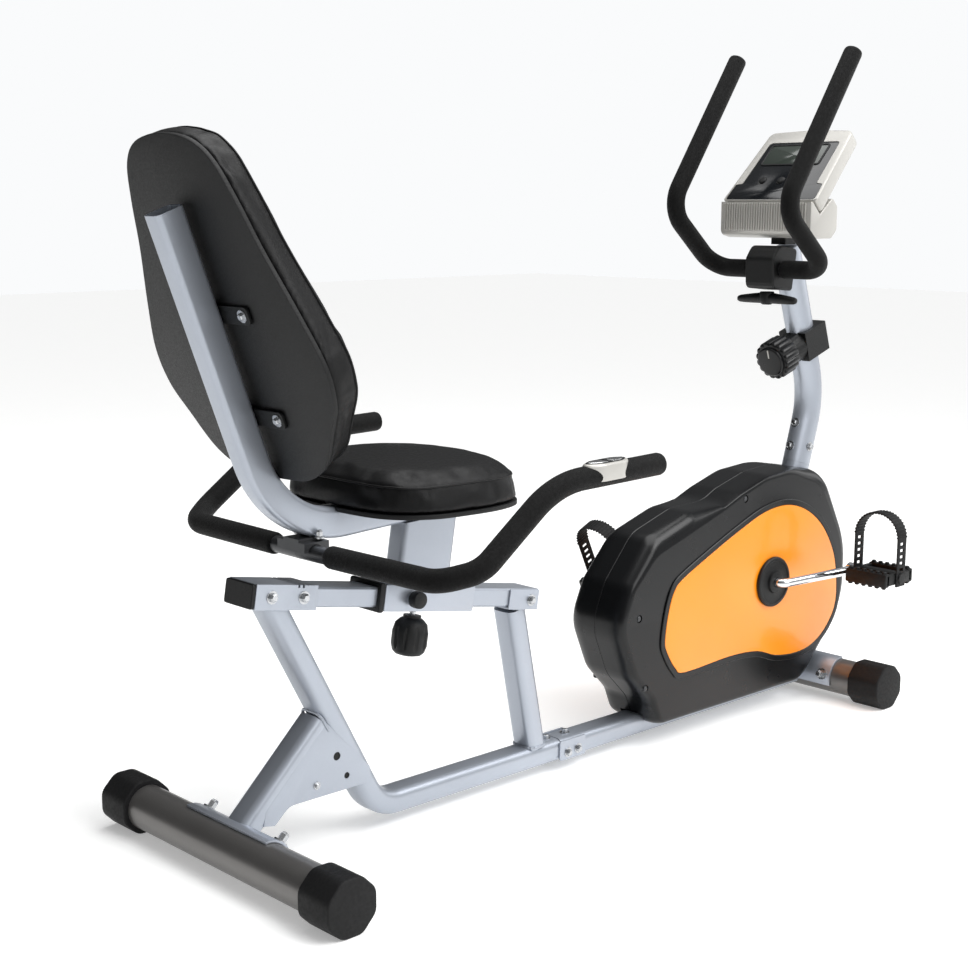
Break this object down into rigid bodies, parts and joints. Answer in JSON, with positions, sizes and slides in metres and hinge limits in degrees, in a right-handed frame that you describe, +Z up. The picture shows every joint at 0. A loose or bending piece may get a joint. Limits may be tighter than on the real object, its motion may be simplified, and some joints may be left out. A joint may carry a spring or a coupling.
{
  "type": "exercise bike",
  "caption": "Recumbent exercise bike: sliding seat with side grips, enclosed magnetic flywheel drive, pedals with straps, console mast with tilting handlebar.",
  "frame": {"origin": "on the floor under the middle of the overall length and width", "axes": "+X forward towards the pedals and console, +Y to the rider's left, +Z up"},
  "size_m": [1.5104, 0.671, 1.2115],
  "materials": {
    "silver_paint": "satin silver powder coat",
    "dark_steel": "dark satin steel",
    "chrome_steel": "bright chrome",
    "black_plastic": "fine grained black moulding",
    "shroud_plastic": "blue-black semi-gloss moulding",
    "rubber_black": "matte",
    "foam_black": "soft closed-cell foam",
    "vinyl_black": "grained vinyl",
    "orange_panel": "semi-gloss yellow-orange",
    "cast_iron": "machined",
    "console_silver": "silver-painted plastic",
    "display_black": "smooth dark face"
  },
  "bodies": {
    "frame": {"rear_stabiliser_tube": "silver_paint", "rear_stabiliser_cap_left": "rubber_black", "rear_stabiliser_cap_right": "rubber_black", "front_stabiliser_tube": "silver_paint", "front_stabiliser_cap_left": "rubber_black", "front_stabiliser_cap_right": "rubber_black", "rear_leg": "silver_paint", "rear_frame_tube": "silver_paint", "seat_support_post": "silver_paint", "seat_rail": "silver_paint", "rail_rear_bracket": "silver_paint", "rail_front_bracket": "silver_paint", "rail_end_cap": "black_plastic", "front_frame": "silver_paint", "shroud_left": "shroud_plastic", "shroud_right": "shroud_plastic", "side_panel_left": "orange_panel", "side_panel_right": "orange_panel", "console_mast": "silver_paint", "tension_bracket": "black_plastic", "handlebar_clamp": "black_plastic", "console_neck": "black_plastic", "console_housing": "console_silver", "console_face": "display_black", "console_drum": "console_silver", "drive_belt": "rubber_black"},
    "seat": {"seat_carriage": "silver_paint", "carriage_bush": "black_plastic", "seat_frame_tube": "silver_paint", "seat_base_plate": "dark_steel", "seat_cushion": "vinyl_black", "backrest_cushion": "vinyl_black", "backrest_bracket_upper": "black_plastic", "backrest_bracket_lower": "black_plastic", "seat_handlebar_tube": "dark_steel", "seat_grip_left": "foam_black", "seat_grip_right": "foam_black", "seat_handlebar_clamp": "dark_steel", "pulse_sensor_left": "console_silver", "pulse_sensor_right": "console_silver"},
    "pop_pin": {"pop_pin_knob": "black_plastic"},
    "clamp_knob": {"carriage_clamp_knob": "black_plastic"},
    "crankset": {"crank": "chrome_steel", "drive_pulley": "black_plastic", "hub_cover_left": "black_plastic", "hub_cover_right": "black_plastic"},
    "left_pedal": {"pedal_left": "black_plastic", "pedal_strap_left": "rubber_black"},
    "right_pedal": {"pedal_right": "black_plastic", "pedal_strap_right": "rubber_black"},
    "flywheel": {"flywheel": "cast_iron"},
    "magnet_arm": {"magnet_bracket": "dark_steel"},
    "tension_dial": {"tension_knob": "black_plastic"},
    "handlebar": {"upper_handlebar_tube": "dark_steel", "upper_grip_left": "foam_black", "upper_grip_right": "foam_black"},
    "t_handle": {"clamp_t_handle": "black_plastic"},
    "button_1": {"console_button_1": "black_plastic"},
    "button_2": {"console_button_2": "black_plastic"},
    "button_3": {"console_button_3": "black_plastic"}
  },
  "joints": [
    {"name": "seat_slide", "type": "slide", "parent": "frame", "child": "seat", "axis": [0.986, 0, -0.1668], "range_m": [-0.1, 0.075]},
    {"name": "pop_pin_push", "type": "slide", "parent": "seat", "child": "pop_pin", "axis": [0.1668, 0, 0.986], "range_m": [0, 0.01]},
    {"name": "clamp_knob_turn", "type": "hinge", "parent": "seat", "child": "clamp_knob", "pos_m": [-0.34774, -0.045, 0.35847], "axis": [0, 1, 0], "range_deg": [-180, 180]},
    {"name": "crank_spin", "type": "hinge", "parent": "frame", "child": "crankset", "pos_m": [0.50925, 0, 0.252], "axis": [0, 1, 0], "continuous": true},
    {"name": "left_pedal_spin", "type": "hinge", "parent": "crankset", "child": "left_pedal", "pos_m": [0.33735, 0.18, 0.246], "axis": [0, 1, 0], "continuous": true},
    {"name": "right_pedal_spin", "type": "hinge", "parent": "crankset", "child": "right_pedal", "pos_m": [0.68114, -0.18, 0.258], "axis": [0, 1, 0], "continuous": true},
    {"name": "flywheel_spin", "type": "hinge", "parent": "frame", "child": "flywheel", "pos_m": [0.24225, 0, 0.192], "axis": [0, 1, 0], "continuous": true},
    {"name": "tension_dial_turn", "type": "hinge", "parent": "frame", "child": "tension_dial", "pos_m": [0.58645, 0, 0.65722], "axis": [-0.9466, 0, -0.3223], "range_deg": [0, 270]},
    {"name": "magnet_arm_swing", "type": "hinge", "parent": "frame", "child": "magnet_arm", "pos_m": [0.36645, -0.007, 0.16103], "axis": [0, 1, 0], "range_deg": [-3, 0]},
    {"name": "handlebar_tilt", "type": "hinge", "parent": "frame", "child": "handlebar", "pos_m": [0.54925, 0, 0.822], "axis": [0, 1, 0], "range_deg": [-15, 10]},
    {"name": "t_handle_turn", "type": "hinge", "parent": "frame", "child": "t_handle", "pos_m": [0.54925, 0, 0.772], "axis": [0, 0, 1], "range_deg": [-30, 30]},
    {"name": "button_1_press", "type": "slide", "parent": "frame", "child": "button_1", "axis": [0.7071, 0, -0.7071], "range_m": [0, 0.0015], "stiffness_N_per_m": 400, "springref_m": -0.0005},
    {"name": "button_2_press", "type": "slide", "parent": "frame", "child": "button_2", "axis": [0.7071, 0, -0.7071], "range_m": [0, 0.0015], "stiffness_N_per_m": 400, "springref_m": -0.0005},
    {"name": "button_3_press", "type": "slide", "parent": "frame", "child": "button_3", "axis": [0.7071, 0, -0.7071], "range_m": [0, 0.0015], "stiffness_N_per_m": 400, "springref_m": -0.0005}
  ],
  "couplings": [
    {"joint": "flywheel_spin", "follows": "crank_spin", "ratio": 6.1151},
    {"joint": "magnet_arm_swing", "follows": "tension_dial_turn", "ratio": -0.0111}
  ]
}
